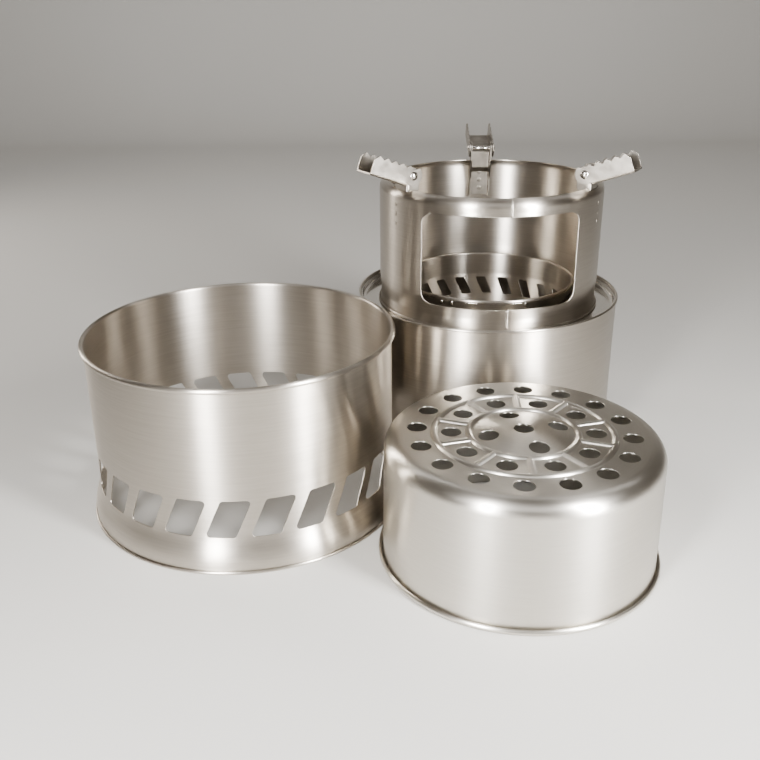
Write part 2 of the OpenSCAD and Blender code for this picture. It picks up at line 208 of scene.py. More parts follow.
def azimuth_of(point):
    """Direction of a point in plan, seen from the burner body's axis."""
    return math.atan2(*(point[:2] - BODY_AXIS)[::-1])


# Places and heights from the frame, and what follows from them and the sizes
BASE_AXIS = axis_of("base_shell")
BOWL_AXIS = axis_of("fire_bowl")
BODY_AXIS = axis_of("body_shell")
BASE_H = corners_of("base_shell")[1, 2]
BODY_H = corners_of("body_shell")[1, 2]
RING_TOP = corners_of("pot_ring")[1, 2]
DECK_Z = BODY_H - DECK_DROP
WEB_R = RING_R - SHEET_T - WELD_GAP
NECK_R = RING_R - SHOULDER_R - SHOULDER_EDGE_W + NOTCH_DEPTH - NECK_GAP
PIVOTS = [corners_of("pin_" + side).mean(axis=0) for side in SIDES]
AZIMUTHS = [azimuth_of(pivot) for pivot in PIVOTS]
# Distance behind the pin at which an arm's toothed edge meets its round end
ARM_END_X = math.sqrt(ARM_END_R ** 2 - ARM_ABOVE ** 2)


# Paths and surfaces

def arc(center, r, start, stop, steps=BEND_STEPS):
    """Points on a circle of radius r about center, from angle start to angle stop."""
    a = np.radians(np.linspace(start, stop, steps + 1))
    return np.stack([center[0] + r * np.cos(a), center[1] + r * np.sin(a)], axis=-1)


def line(start, stop, steps=RUN_STEPS):
    """Points evenly spaced on a straight run."""
    return np.linspace(start, stop, steps + 1)


def side_shares():
    """Shares from 0 to 1 along a side, closer near both ends: half of one minus the cosine."""
    return (1 - np.cos(np.linspace(0, np.pi, SIDE_STEPS + 1))) / 2


def top_curl(r, wall_r, top):
    """Outward curl of a rim: a circle that runs from below its outside over the top to the inner wall."""
    return arc((wall_r + r, top - r), r, 180 - CURL_TURN, 180, CURL_STEPS)


def bottom_curl(r, wall_r, bottom):
    """Outward curl of a foot: a circle that runs from the inner wall under the bottom and up outside."""
    return arc((wall_r + r, bottom + r), r, 180, 180 + CURL_TURN, CURL_STEPS)


def spun(path, angles=None):
    """Surface of revolution: row i, column j is path point (radius, height) i turned by angle j."""
    if angles is None:
        angles = np.linspace(0, 2 * np.pi, SPUN_STEPS + 1)
    r = path[:, :1]
    return np.stack([r * np.cos(angles), r * np.sin(angles), path[:, 1:] + 0 * angles], axis=-1)


def on_wall(wall, angle, height):
    """Points at an angle and height on a wall whose radius is a function of height."""
    r = wall(height)
    return np.stack([r * np.cos(angle), r * np.sin(angle), height], axis=-1)


def leaning(width, low, high, lean):
    """Corners (sideways, height) of a parallelogram that leans by lean per unit of height, anticlockwise."""
    skew = lean * (high - low) / 2
    half = width / 2
    return np.array([(-half - skew, low), (half - skew, low), (half + skew, high), (skew - half, high)])


def straight_sides(corners):
    """Closed loop along a polygon's sides, with the spacing of side_shares on each side."""
    share = side_shares()[:-1, None]
    sides = [a + share * (b - a) for a, b in zip(corners, np.roll(corners, -1, axis=0))]
    return np.concatenate(sides + [corners[:1]])


def round_sides(corners, r):
    """Closed loop along a polygon with round corners. Each side runs from the middle of one corner's arc
    to the middle of the next one's and is spaced along its length as side_shares says."""
    halves = []
    for before, here, after in zip(np.roll(corners, 1, axis=0), corners, np.roll(corners, -1, axis=0)):
        u = (before - here) / np.linalg.norm(before - here)
        v = (after - here) / np.linalg.norm(after - here)
        half = math.acos(u @ v) / 2
        center = here + (u + v) / np.linalg.norm(u + v) * r / math.sin(half)
        way = math.degrees(math.atan2(*(here - center)[::-1]))
        swing = 90 - math.degrees(half)
        halves.append((arc(center, r, way - swing, way), arc(center, r, way, way + swing)))
    loop = []
    for i in range(len(corners)):
        run = np.concatenate([halves[i][1], halves[(i + 1) % len(corners)][0]])
        length = np.concatenate([[0], np.cumsum(np.linalg.norm(np.diff(run, axis=0), axis=1))])
        at = side_shares()[:-1] * length[-1]
        loop.append(np.stack([np.interp(at, length, run[:, k]) for k in (0, 1)], axis=-1))
    return np.concatenate(loop + [loop[0][:1]])


def between(hole, border, shares=CELL_SHARES):
    """Sheet round a hole: each row lies at one share of the way from the hole's loop to the border's."""
    return hole + (border - hole) * np.array(shares)[:, None, None]


def toward(border, center, r):
    """Round hole's loop: the points of a circle that lie in the direction of each border point."""
    away = border - center
    return center + r * away / np.linalg.norm(away, axis=-1, keepdims=True)


# Pieces

def place(grids, axis, base_z=0):
    """Moves grids from a piece's own axis to its place."""
    return [g + np.array([axis[0], axis[1], base_z]) for g in grids]


def new_piece(name, grids, body, nodes, material, thickness=None, edge_r=CUT_EDGE_R):
    """One smooth mesh from point grids (rows, columns, 3) in mm, with their common borders joined.
    A sheet gets its thickness behind the grids' faces, and its cut edges are rounded."""
    points = np.concatenate([g.reshape(-1, 3) for g in grids])
    quads = []
    start = 0
    for g in grids:
        rows, columns = g.shape[:2]
        i = start + np.arange(rows * columns).reshape(rows, columns)
        quads.append(np.stack([i[:-1, :-1], i[:-1, 1:], i[1:, 1:], i[1:, :-1]], axis=-1).reshape(-1, 4))
        start += rows * columns
    mesh = bpy.data.meshes.new(name)
    mesh.from_pydata((points * MM).tolist(), [], np.concatenate(quads).tolist())
    joined = bmesh.new()
    joined.from_mesh(mesh)
    bmesh.ops.remove_doubles(joined, verts=joined.verts, dist=JOIN_MM * MM)
    joined.to_mesh(mesh)
    joined.free()
    mesh.polygons.foreach_set("use_smooth", np.ones(len(mesh.polygons), dtype=bool))
    mesh.materials.append(material)
    piece = bpy.data.objects.new(name, mesh)
    bpy.context.scene.collection.objects.link(piece)
    if thickness:
        sheet = piece.modifiers.new("sheet", "SOLIDIFY")
        sheet.thickness = thickness * MM
        sheet.offset = -1
        sheet.use_even_offset = True
        edge = piece.modifiers.new("cut_edge", "BEVEL")
        edge.width = edge_r * MM
        edge.segments = CUT_EDGE_STEPS
        edge.limit_method = "ANGLE"
        edge.angle_limit = math.radians(CUT_EDGE_ANGLE)
        edge.use_clamp_overlap = False
        edge.harden_normals = True
    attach(piece, body)
    if nodes:
        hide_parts(*nodes)


def pierced_band(wall, flat_r, n, turn, hole, border, corner_r):
    """Band of wall with n like holes. Each cell is the sheet between a hole and its cell's border, drawn
    flat and bent round the axis at radius flat_r. Also gives the band's angles at its lower and upper
    edge."""
    cell = between(round_sides(hole, corner_r), straight_sides(border))
    turns = math.radians(turn) + 2 * np.pi * np.arange(n) / n
    grids = [on_wall(wall, cell[..., 0] / flat_r + a, cell[..., 1]) for a in turns]
    share = side_shares()[:-1]
    edges = []
    for left, right in ((border[0], border[1]), (border[3], border[2])):
        one = (left[0] + share * (right[0] - left[0])) / flat_r
        around = (turns[:, None] + one).ravel()
        edges.append(np.append(around, around[0] + 2 * np.pi))
    return grids, edges


def base_wall(z):
    """Inner radius of the base: straight, and eased outwards by a half cosine from the flare to the foot."""
    k = np.clip((z - FOOT_BAND_H) / (FOOT_FLARE_H - FOOT_BAND_H), 0, 1)
    return BASE_R - SHEET_T + FOOT_FLARE * (1 + np.cos(np.pi * k)) / 2


def vented_base(material):
    """Wall with leaning vents, a rolled rim and a flared foot on a rolled lip."""
    low = VENT_Z - VENT_MARGIN
    high = VENT_Z + VENT_H + VENT_MARGIN
    lean = VENT_LEAN / VENT_H
    pitch = 2 * np.pi * BASE_R / VENT_N
    grids, (low_angles, high_angles) = pierced_band(
        base_wall, BASE_R, VENT_N, VENT_TURN, leaning(VENT_W, VENT_Z, VENT_Z + VENT_H, lean),
        leaning(pitch, low, high, lean), VENT_CORNER_R)
    inner = BASE_R - SHEET_T
    rim = np.concatenate([
        top_curl(BASE_RIM_R, inner, BASE_H),
        line((inner, BASE_H - BASE_RIM_R - BEND_LAND), (inner, high))])
    z = np.append(np.linspace(low, FOOT_BAND_H, WALL_STEPS + 1), FOOT_LIP_R + BEND_LAND)
    foot = np.concatenate([
        np.stack([base_wall(z), z], axis=-1), bottom_curl(FOOT_LIP_R, inner + FOOT_FLARE, 0)])
    grids += [spun(rim, high_angles), spun(foot, low_angles)]
    new_piece("vented_base_shell", place(grids, BASE_AXIS), "vented_base", ["base_shell"],
              material, SHEET_T)


# Radii of the bowl's bottom plate, from its edge inwards
BOWL_TOP_R = BOWL_R - BOWL_TAPER
PLATE_R = BOWL_TOP_R - BOWL_EDGE_R
HOLE_STEP = AIR_HOLE_R + HOLE_LAND + PRESS_W
OUTER_ROW_R = PLATE_R - EDGE_LAND - AIR_HOLE_R
OUTER_BEAD_R = OUTER_ROW_R - HOLE_STEP
MIDDLE_ROW_R = OUTER_BEAD_R - HOLE_STEP
INNER_BEAD_R = MIDDLE_ROW_R - HOLE_STEP
DOME_ROW_R = INNER_BEAD_R - HOLE_STEP
# Half width of beads and ribs on the sheet's inner face, where the plate is drawn
ARCH_W = PRESS_W - SHEET_T / 2
DOME_R = INNER_BEAD_R - ARCH_W


def swell(distance):
    """Height of a pressed bead across its width: half a cosine wave from foot to foot."""
    return PRESS_H * np.cos(np.pi / 2 * np.clip(np.abs(distance) / ARCH_W, 0, 1))


def lifted(r, angle):
    """Points of the bowl's bottom plate, raised over its flat by two round beads, ribs between them and a
    dome that falls off with the square of the radius."""
    step = 2 * np.pi / MIDDLE_ROW_N
    from_rib = (angle - math.radians(MIDDLE_ROW_TURN)) % step - step / 2
    between_beads = (r > INNER_BEAD_R) & (r < OUTER_BEAD_R)
    ribs = np.where(between_beads, swell(r * np.sin(from_rib)), 0)
    beads = np.maximum(swell(r - OUTER_BEAD_R), swell(r - INNER_BEAD_R))
    dome = DOME_H * np.clip(1 - (r / DOME_R) ** 2, 0, None)
    return np.stack([r * np.cos(angle), r * np.sin(angle), np.maximum(ribs, beads) + dome], axis=-1)


def edge_angles(n, turn, r, inset=0):
    """Angles of the points on a row's edge of radius r, over a full turn: even steps along each of n cells
    and, where the cells are inset from the radial lines between them, across each rib."""
    half = math.pi / n
    foot = math.asin(inset / r)
    rib_steps = RIB_STEPS if inset else 0
    flat = np.linspace(foot - half, half - foot, SPUN_STEPS // n - rib_steps + 1)[:-1]
    rib = half + foot * np.linspace(-1, 1, rib_steps + 1)[:-1]
    one = math.radians(turn) + np.concatenate([flat, rib])
    around = np.sort((one + 2 * half * np.arange(n)[:, None]).ravel() % (2 * np.pi))
    return np.append(around, around[0] + 2 * np.pi)


def plate_row(n, row_r, low_r, high_r, turn, inset=0):
    """Row of n air holes. Each cell is the sheet between a hole and a border of two arcs and two sides,
    which lie inset from the radial lines between cells. It is drawn about the first hole and turned to its
    place."""
    half = math.pi / n
    steps = SPUN_STEPS // n - (RIB_STEPS if inset else 0)
    side_r = np.linspace(low_r, high_r, SIDE_STEPS + 1)
    side_a = half - np.arcsin(inset / side_r)
    side = np.stack([side_r * np.cos(side_a), side_r * np.sin(side_a)], axis=-1)[1:-1]
    low_a, high_a = np.degrees(side_a[[0, -1]])
    border = np.concatenate([
        arc((0, 0), low_r, low_a, -low_a, steps), side * (1, -1),
        arc((0, 0), high_r, -high_a, high_a, steps), side[::-1]])
    border = np.append(border, border[:1], axis=0)
    cell = between(toward(border, np.array([row_r, 0]), AIR_HOLE_R), border, PLATE_SHARES)
    r = np.hypot(cell[..., 0], cell[..., 1])
    a = np.arctan2(cell[..., 1], cell[..., 0]) + math.radians(turn)
    return [lifted(r, a + 2 * half * i) for i in range(n)]


def plate_ribs(n, low_r, high_r, turn):
    """Ribs between the cells of a row: strips along the radial lines, as wide as the cells are inset."""
    r = np.linspace(low_r, high_r, SIDE_STEPS + 1)[:, None]
    across = np.arcsin(ARCH_W / r) * np.linspace(-1, 1, RIB_STEPS + 1)
    middles = math.radians(turn) + math.pi / n * (2 * np.arange(n) + 1)
    return [lifted(r + 0 * across, middle + across) for middle in middles]


def plate_bead(bead_r, low_angles, high_angles):
    """Round bead of the plate. Its columns run from the angles of one edge to those of the other."""
    share = np.linspace(0, 1, RIB_STEPS + 1)[:, None]
    r = bead_r + ARCH_W * (2 * share - 1)
    return lifted(r + 0 * low_angles, low_angles + share * (high_angles - low_angles))


def fire_bowl(material):
    """Bowl that stands on its rolled lip: pierced and pressed bottom plate, rounded edge and plain wall."""
    outer_low = OUTER_BEAD_R + ARCH_W
    middle_high = OUTER_BEAD_R - ARCH_W
    middle_low = INNER_BEAD_R + ARCH_W
    plate = plate_row(OUTER_ROW_N, OUTER_ROW_R, outer_low, PLATE_R, OUTER_ROW_TURN)
    plate += plate_row(MIDDLE_ROW_N, MIDDLE_ROW_R, middle_low, middle_high, MIDDLE_ROW_TURN, ARCH_W)
    plate += plate_ribs(MIDDLE_ROW_N, middle_low, middle_high, MIDDLE_ROW_TURN)
    plate += plate_row(DOME_ROW_N, DOME_ROW_R, AIR_HOLE_R, DOME_R, DOME_ROW_TURN)
    outer_angles = edge_angles(OUTER_ROW_N, OUTER_ROW_TURN, PLATE_R)
    plate.append(plate_bead(
        OUTER_BEAD_R, edge_angles(MIDDLE_ROW_N, MIDDLE_ROW_TURN, middle_high, ARCH_W), outer_angles))
    plate.append(plate_bead(
        INNER_BEAD_R, edge_angles(DOME_ROW_N, DOME_ROW_TURN, DOME_R),
        edge_angles(MIDDLE_ROW_N, MIDDLE_ROW_TURN, middle_low, ARCH_W)))
    under = BOWL_H - SHEET_T
    inner = BOWL_R - SHEET_T
    wall = np.concatenate([
        arc((PLATE_R, BOWL_H - BOWL_EDGE_R), BOWL_EDGE_R - SHEET_T, 90, 0, 2 * BEND_STEPS),
        line((BOWL_TOP_R - SHEET_T, BOWL_H - BOWL_EDGE_R - BEND_LAND), (inner, BOWL_LIP_R + BEND_LAND)),
        bottom_curl(BOWL_LIP_R, inner, 0)])
    grids = place(plate, BOWL_AXIS, under) + place([spun(wall, outer_angles)], BOWL_AXIS)
    new_piece("fire_bowl_pressing", grids, "bowl", ["fire_bowl"], material, SHEET_T)


# Inner radii of the burner body's wall and of its throat
BODY_INNER_R = BODY_R - SHEET_T
THROAT_R = COLLAR_R - 2 * SHEET_T - WELD_GAP


def body_wall(material):
    """Outer wall of the burner body, with a rolled rim and a folded hem."""
    fold_z = SHEET_T + HEM_FOLD_R
    hem_r = BODY_INNER_R - 2 * HEM_FOLD_R
    wall = np.concatenate([
        top_curl(BODY_RIM_R, BODY_INNER_R, BODY_H),
        line((BODY_INNER_R, BODY_H - BODY_RIM_R - BEND_LAND), (BODY_INNER_R, fold_z + BEND_LAND)),
        arc((BODY_INNER_R - HEM_FOLD_R, fold_z), HEM_FOLD_R, 0, -180),
        line((hem_r, fold_z + BEND_LAND), (hem_r, BODY_HEM_H))])
    new_piece("body_wall", place([spun(wall)], BODY_AXIS), "burner_body", ["body_shell"],
              material, SHEET_T)


def deck_and_collar(material):
    """Sunk deck: a flange along the wall, a level ring and an upright collar, with round bends between."""
    flange = BODY_INNER_R - WELD_GAP - SHEET_T
    collar_top = DECK_Z + COLLAR_H - 2 * THROAT_RIM_R - WELD_GAP
    bend_z = DECK_Z + DECK_BEND_R
    face = np.concatenate([
        line((flange, BODY_H - 2 * BODY_RIM_R - WELD_GAP), (flange, bend_z + BEND_LAND)),
        arc((flange - DECK_BEND_R, bend_z), DECK_BEND_R, 0, -90),
        line((flange - DECK_BEND_R - BEND_LAND, DECK_Z), (COLLAR_R + DECK_BEND_R + BEND_LAND, DECK_Z)),
        arc((COLLAR_R + DECK_BEND_R, bend_z), DECK_BEND_R, -90, -180),
        line((COLLAR_R, bend_z + BEND_LAND), (COLLAR_R, collar_top))])
    new_piece("deck_and_collar", place([spun(face)], BODY_AXIS), "burner_body", ["body_deck"],
              material, SHEET_T)


def throat_wall(z):
    """Inner radius of the throat: straight in the collar and narrowing evenly below the deck."""
    return THROAT_R - THROAT_TAPER * np.clip((DECK_Z - z) / THROAT_DROP, 0, 1)


def slotted_throat(material):
    """Liner that hangs in the collar by its rolled rim, with a row of leaning air slots below the deck."""
    rim_z = DECK_Z + COLLAR_H
    low_z = DECK_Z - THROAT_DROP
    slot_top = DECK_Z - SLOT_DROP
    slot_z = slot_top - SLOT_H
    lean = SLOT_LEAN / SLOT_H
    mid_r = float(throat_wall((slot_z + slot_top) / 2))
    low = slot_z - SLOT_MARGIN
    high = slot_top + SLOT_MARGIN
    grids, (low_angles, high_angles) = pierced_band(
        throat_wall, mid_r, SLOT_N, SLOT_TURN, leaning(SLOT_W, slot_z, slot_top, lean),
        leaning(2 * np.pi * mid_r / SLOT_N, low, high, lean), SLOT_CORNER_R)
    above = np.concatenate([
        top_curl(THROAT_RIM_R, THROAT_R, rim_z),
        line((THROAT_R, rim_z - THROAT_RIM_R - BEND_LAND), (THROAT_R, DECK_Z + BEND_LAND)),
        [(THROAT_R, DECK_Z), (throat_wall(high), high)]])
    below = line((throat_wall(low), low), (throat_wall(low_z), low_z))
    grids += [spun(above, high_angles), spun(below, low_angles)]
    new_piece("slotted_throat", place(grids, BODY_AXIS), "burner_body", ["burner_throat"],
              material, SHEET_T)


def ring_wall(z):
    """Inner radius of the pot ring: straight, drawn in by a half cosine to the waist and out again below."""
    h = z - DECK_Z
    above = np.clip((h - WAIST_H) / (WAIST_TOP_H - WAIST_H), 0, 1)
    below = np.clip((WAIST_H - h) / WAIST_H, 0, 1)
    drawn = np.where(h > WAIST_H, (1 + np.cos(np.pi * above)) / 2, 1 - below)
    return RING_R - SHEET_T - WAIST_DEPTH * drawn


def pot_ring(material):
    """Ring with a rounded shoulder, notched for the brackets, a drawn-in waist, a rolled lip and the feed
    window in front. Columns run from the left notch over the window to the right and rear notches."""
    window = leaning(WINDOW_W, DECK_Z + WINDOW_Z, RING_TOP - WINDOW_DROP, 0)
    cell_w = 2 * RING_R * math.sin(math.radians(WINDOW_HALF_CELL))
    low = window[0, 1] - WINDOW_MARGIN
    high = window[2, 1] + WINDOW_MARGIN
    border = leaning(cell_w, low, high, 0)
    facing = math.radians(WINDOW_DIRECTION)
    cell = between(round_sides(window, WINDOW_CORNER_R), straight_sides(border))
    grids = [on_wall(ring_wall, facing + np.arcsin(cell[..., 0] / RING_R), cell[..., 1])]

    share = side_shares()
    front = facing + np.arcsin((share - 0.5) * cell_w / RING_R)
    half = math.asin((ARM_W / 2 + NOTCH_GAP) / (RING_R - SHOULDER_R / 2))
    left, right, rear = AZIMUTHS
    open_runs = [
        np.concatenate([[left + half], front, [right - half]]),
        np.linspace(right + half, rear - half, RING_COLUMNS),
        np.linspace(rear + half, left + 2 * np.pi - half, RING_COLUMNS)]
    notches = [
        np.linspace(a - half, a + half, NOTCH_COLUMNS)[1:-1] for a in (right, rear, left + 2 * np.pi)]
    in_turn = [run for pair in zip(open_runs, notches) for run in pair]
    around = np.concatenate(in_turn + [[left + 2 * np.pi + half]])
    rest = np.concatenate([around[len(front):], around[1:2] + 2 * np.pi])
    z = high + share * (low - high)
    grids.append(spun(np.stack([ring_wall(z), z], axis=-1), rest))

    edge_r = RING_R - SHOULDER_R
    center = (edge_r, RING_TOP - SHOULDER_R)
    notch_floor = math.degrees(math.acos((NOTCH_DEPTH - SHOULDER_EDGE_W) / (SHOULDER_R - SHEET_T / 2)))
    rim = np.concatenate([
        [(edge_r - SHOULDER_EDGE_W, RING_TOP - SHEET_T)],
        arc(center, SHOULDER_R - SHEET_T, 90, notch_floor)])
    under = np.concatenate([
        arc(center, SHOULDER_R - SHEET_T, notch_floor, 0),
        line((RING_R - SHEET_T, RING_TOP - SHOULDER_R - BEND_LAND), (RING_R - SHEET_T, high))])
    z = np.linspace(low, DECK_Z + WAIST_H / 2, WALL_STEPS + 1)
    foot = np.concatenate([
        np.stack([ring_wall(z), z], axis=-1), bottom_curl(RING_LIP_R, RING_R - SHEET_T, DECK_Z)])
    grids += [spun(rim, run) for run in open_runs] + [spun(under, around), spun(foot, around)]
    new_piece("pot_ring_shell", place(grids, BODY_AXIS), "ring", ["pot_ring"], material,
              SHEET_T, RING_EDGE_R)


def at_pivot(grids, pivot, slope=0):
    """Turns grids drawn along the arm, across it and up from the pin by the slope and the arm's azimuth."""
    azimuth = azimuth_of(pivot)
    s = math.radians(slope)
    turned = []
    for g in grids:
        out = g[..., 0] * math.cos(s) - g[..., 2] * math.sin(s)
        up = g[..., 0] * math.sin(s) + g[..., 2] * math.cos(s)
        x = out * math.cos(azimuth) - g[..., 1] * math.sin(azimuth)
        y = out * math.sin(azimuth) + g[..., 1] * math.cos(azimuth)
        turned.append(np.stack([x, y, up], axis=-1) + pivot)
    return turned


def upright(loop, y):
    """Plate grid (along, up) stood up at the distance y across, facing away from the middle."""
    grid = np.stack([loop[..., 0], np.full(loop.shape[:-1], y), loop[..., 1]], axis=-1)
    return grid if y > 0 else grid[:, ::-1]


def arm_top(x):
    """Height of an arm's toothed edge over its pin: straight flanks between tips and valleys, rounded off
    by the mean over three near places."""
    tips = ARM_LEN - TIP_CHAMFER - TOOTH_PITCH * np.arange(TOOTH_N)
    flanks = np.stack([tips, tips - TOOTH_PITCH / 2], axis=-1).ravel()
    at = np.concatenate([[ARM_LEN], flanks, [-ARM_END_X]])
    level = [ARM_ABOVE - TIP_CHAMFER] + [ARM_ABOVE, ARM_ABOVE - TOOTH_DEPTH] * TOOTH_N + [ARM_ABOVE]
    near = [np.interp(x + d, at[::-1], level[::-1]) for d in (-TOOTH_ROUND, 0, TOOTH_ROUND)]
    return np.mean(near, axis=0)


def folding_arm(side, pivot, material):
    """Channel folded from strip: toothed sides, round bends to the web, and round ends pierced for the pin.
    The web stops where it meets the bracket's web when the arm is spread."""
    half = ARM_W / 2
    slope = math.radians(ARM_SLOPE)
    stop_x = NECK_R - np.linalg.norm(pivot[:2] - BODY_AXIS) + ARM_REST_GAP
    web_start = (stop_x - (ARM_BELOW - STRIP_T) * math.sin(slope)) / math.cos(slope)
    steps = np.arange(ARM_LEN - TIP_CHAMFER, -ARM_END_X, -TOOTH_PITCH / 4)
    along = np.concatenate([steps, steps + TOOTH_ROUND, steps - TOOTH_ROUND, [ARM_LEN, web_start]])
    along = np.unique(along)[::-1]
    bend_z = STRIP_BEND_R - ARM_BELOW
    up = np.linspace(1, 0, RUN_STEPS + 1)
    bend = arc((half - STRIP_BEND_R, bend_z), STRIP_BEND_R, 0, -90)
    web = line((half - STRIP_BEND_R, -ARM_BELOW), (STRIP_BEND_R - half, -ARM_BELOW))
    fold = np.concatenate([bend, web[1:-1], bend[::-1] * (-1, 1)])
    y, low = np.pad(fold, ((RUN_STEPS, RUN_STEPS), (0, 0)), "edge").T
    raised = np.concatenate([up[:-1], np.zeros(len(fold)), up[-2::-1]])
    x = along[(along >= web_start) & (along <= ARM_LEN), None]
    z = low + raised * (arm_top(x) - bend_z)
    grids = [np.stack([x + 0 * z, y + 0 * z, z], axis=-1)]

    start_top = float(arm_top(np.array(web_start)))
    front = line((web_start, bend_z), (web_start, start_top))
    back_x = along[(along < web_start) & (along > -ARM_END_X)]
    end_angle = 180 - math.degrees(math.asin(ARM_ABOVE / ARM_END_R))
    border = np.concatenate([
        front, np.stack([back_x, arm_top(back_x)], axis=-1),
        arc((0, 0), ARM_END_R, end_angle, 270, CURL_STEPS),
        line((0, -ARM_END_R), (web_start, bend_z))[1:]])
    plate = between(toward(border, np.zeros(2), PIN_R + PIN_RUN_GAP), border)
    grids += [upright(plate, half), upright(plate, -half)]
    new_piece("folding_arm_" + side, at_pivot(grids, pivot, ARM_SLOPE), side + "_arm", ["arm_" + side],
              material, STRIP_T)


def bracket(side, pivot, material):
    """Channel folded from strip: a web curved like the ring's wall, which steps in to pass the notch in its
    shoulder, and two flanges that widen to the ears that carry the pin."""
    pivot_r = np.linalg.norm(pivot[:2] - BODY_AXIS)
    half = ARM_W / 2 - STRIP_T - EAR_GAP
    bend_y = half - STRIP_BEND_R
    step_top = RING_TOP - SHOULDER_R

    def section(z):
        """Channel's outline at height z: ear, bend, web, bend and ear. The step is a half cosine."""
        stepped = (1 - math.cos(math.pi * min(max((z - step_top) / NECK_STEP + 1, 0), 1))) / 2
        web_r = WEB_R + (NECK_R - WEB_R) * stepped
        bend_x = math.sqrt((web_r - STRIP_BEND_R) ** 2 - bend_y ** 2)
        swing = math.degrees(math.atan2(bend_y, bend_x))
        in_r = np.interp(z, [RING_TOP - EAR_TAPER_H, RING_TOP], [WEB_R - FLANGE_W, pivot_r - EAR_R])
        ear = line((in_r, half), (bend_x, half))
        bend = arc((bend_x, bend_y), STRIP_BEND_R, 90, swing)[1:]
        web = arc((0, 0), web_r, swing, -swing)[1:-1]
        outline = np.concatenate([ear, bend, web, bend[::-1] * (1, -1), ear[::-1] * (1, -1)])
        return np.column_stack([outline[:, 0] - pivot_r, outline[:, 1], np.full(len(outline), z - pivot[2])])

    heights = np.linspace(RING_TOP + WEB_RISE, RING_TOP - BRACKET_DROP, BRACKET_ROWS)
    grids = [np.stack([section(z) for z in heights])]
    seat = grids[0][0, :RUN_STEPS + 1]
    ear_x, _, top = seat[-1]
    round_top = arc((0, 0), EAR_R, math.degrees(math.asin(top / EAR_R)), 180, CURL_STEPS)
    border = np.concatenate([
        seat[:, ::2], line((ear_x, top), round_top[0])[1:], round_top[1:],
        line((-EAR_R, 0), (-EAR_R, top))[1:]])
    plate = between(toward(border, np.zeros(2), PIN_R + PIN_HOLD_GAP), border)
    grids += [upright(plate, half), upright(plate, -half)]
    new_piece("bracket_strip_" + side, at_pivot(grids, pivot), "ring", ["bracket_" + side],
              material, STRIP_T)


def rivet_pin(side, pivot, material):
    """Shank with a domed head at each end, turned about the pin's axis."""
    half = ARM_W / 2 + PIN_HEAD_GAP
    dome_r = (PIN_HEAD_R ** 2 + PIN_HEAD_H ** 2) / (2 * PIN_HEAD_H)
    dome_angle = math.degrees(math.asin(PIN_HEAD_R / dome_r))
    head = arc((0, half + PIN_HEAD_H - dome_r), dome_r, 90 - dome_angle, 90)
    shank = line((PIN_R, -half), (PIN_R, half), SHANK_STEPS)
    path = np.concatenate([head[::-1] * (1, -1), shank, head])
    g = spun(path, np.linspace(0, 2 * np.pi, 2 * CURL_STEPS + 1))
    g = np.stack([g[..., 0], g[..., 2], -g[..., 1]], axis=-1)
    new_piece("rivet_pin_" + side, at_pivot([g], pivot), "ring", ["pin_" + side], material)


def spot_welds(name, body, material, wall_r, places):
    """Flat lenses set halfway into a round wall, one at each (azimuth, height): ellipsoids with their short
    axis along the radius."""
    polar = np.linspace(np.pi, 0, CURL_STEPS // 2 + 1)[:, None]
    turn = np.linspace(0, 2 * np.pi, CURL_STEPS + 1)
    side = SPOT_R * np.sin(polar) * np.cos(turn)
    rise = SPOT_R * np.sin(polar) * np.sin(turn)
    r = wall_r + SPOT_H * np.cos(polar) + 0 * turn
    grids = []
    for azimuth, z in places:
        a = azimuth + side / wall_r
        grids.append(np.stack([r * np.cos(a), r * np.sin(a), z + rise], axis=-1))
    new_piece(name, place(grids, BODY_AXIS), body, [], material)


def ring_seam(material):
    """Upright weld bead on the ring, above and below the window: a flat ellipse swept along the outer wall,
    half sunk into the sheet and closed at both ends."""
    top = RING_TOP - WINDOW_DROP
    shoulder = arc((RING_R - SHOULDER_R, RING_TOP - SHOULDER_R), SHOULDER_R, SEAM_TOP_ANGLE, 0)
    straight = line((RING_R, RING_TOP - SHOULDER_R - BEND_LAND), (RING_R, top + RING_EDGE_R))
    above = np.concatenate([shoulder, straight])
    lip_z = DECK_Z + 2 * RING_LIP_R + BEND_LAND
    z = np.linspace(DECK_Z + WINDOW_Z - RING_EDGE_R, lip_z, WALL_STEPS + 1)
    below = np.stack([ring_wall(z) + SHEET_T, z], axis=-1)
    turn = np.linspace(0, 2 * np.pi, CURL_STEPS + 1)
    grids = []
    for path in (above, below):
        ahead = np.gradient(path, axis=0)
        ahead /= np.linalg.norm(ahead, axis=1, keepdims=True)
        normal = np.stack([-ahead[:, 1], ahead[:, 0]], axis=-1)
        rows = [0, *range(len(path)), -1]
        size = np.ones((len(rows), 1))
        size[[0, -1]] = 0
        face = path[rows, None] + normal[rows, None] * (SEAM_H * size * np.sin(turn))[..., None]
        a = math.radians(SEAM_DIRECTION) + SEAM_W / 2 * size * np.cos(turn) / RING_R
        r = face[..., 0]
        grids.append(np.stack([r * np.cos(a), r * np.sin(a), face[..., 1]], axis=-1))
    new_piece("ring_seam", place(grids, BODY_AXIS), "ring", [], material)


# Materials

def linear(hex_colour):
    """sRGB hex colour as linear red, green, blue and alpha."""
    srgb = np.array([int(hex_colour[i:i + 2], 16) for i in (1, 3, 5)]) / 255
    rgb = np.where(srgb <= 0.04045, srgb / 12.92, ((srgb + 0.055) / 1.055) ** 2.4)
    return (*rgb.tolist(), 1.0)


def add(tree, kind, inputs, **settings):
    """Adds a node with its settings. Each input is a value or another node's output to link."""
    node = tree.nodes.new(kind)
    for key, value in settings.items():
        setattr(node, key, value)
    for key, value in inputs.items():
        if isinstance(value, bpy.types.NodeSocket):
            tree.links.new(value, node.inputs[key])
        else:
            node.inputs[key].default_value = value
    return node


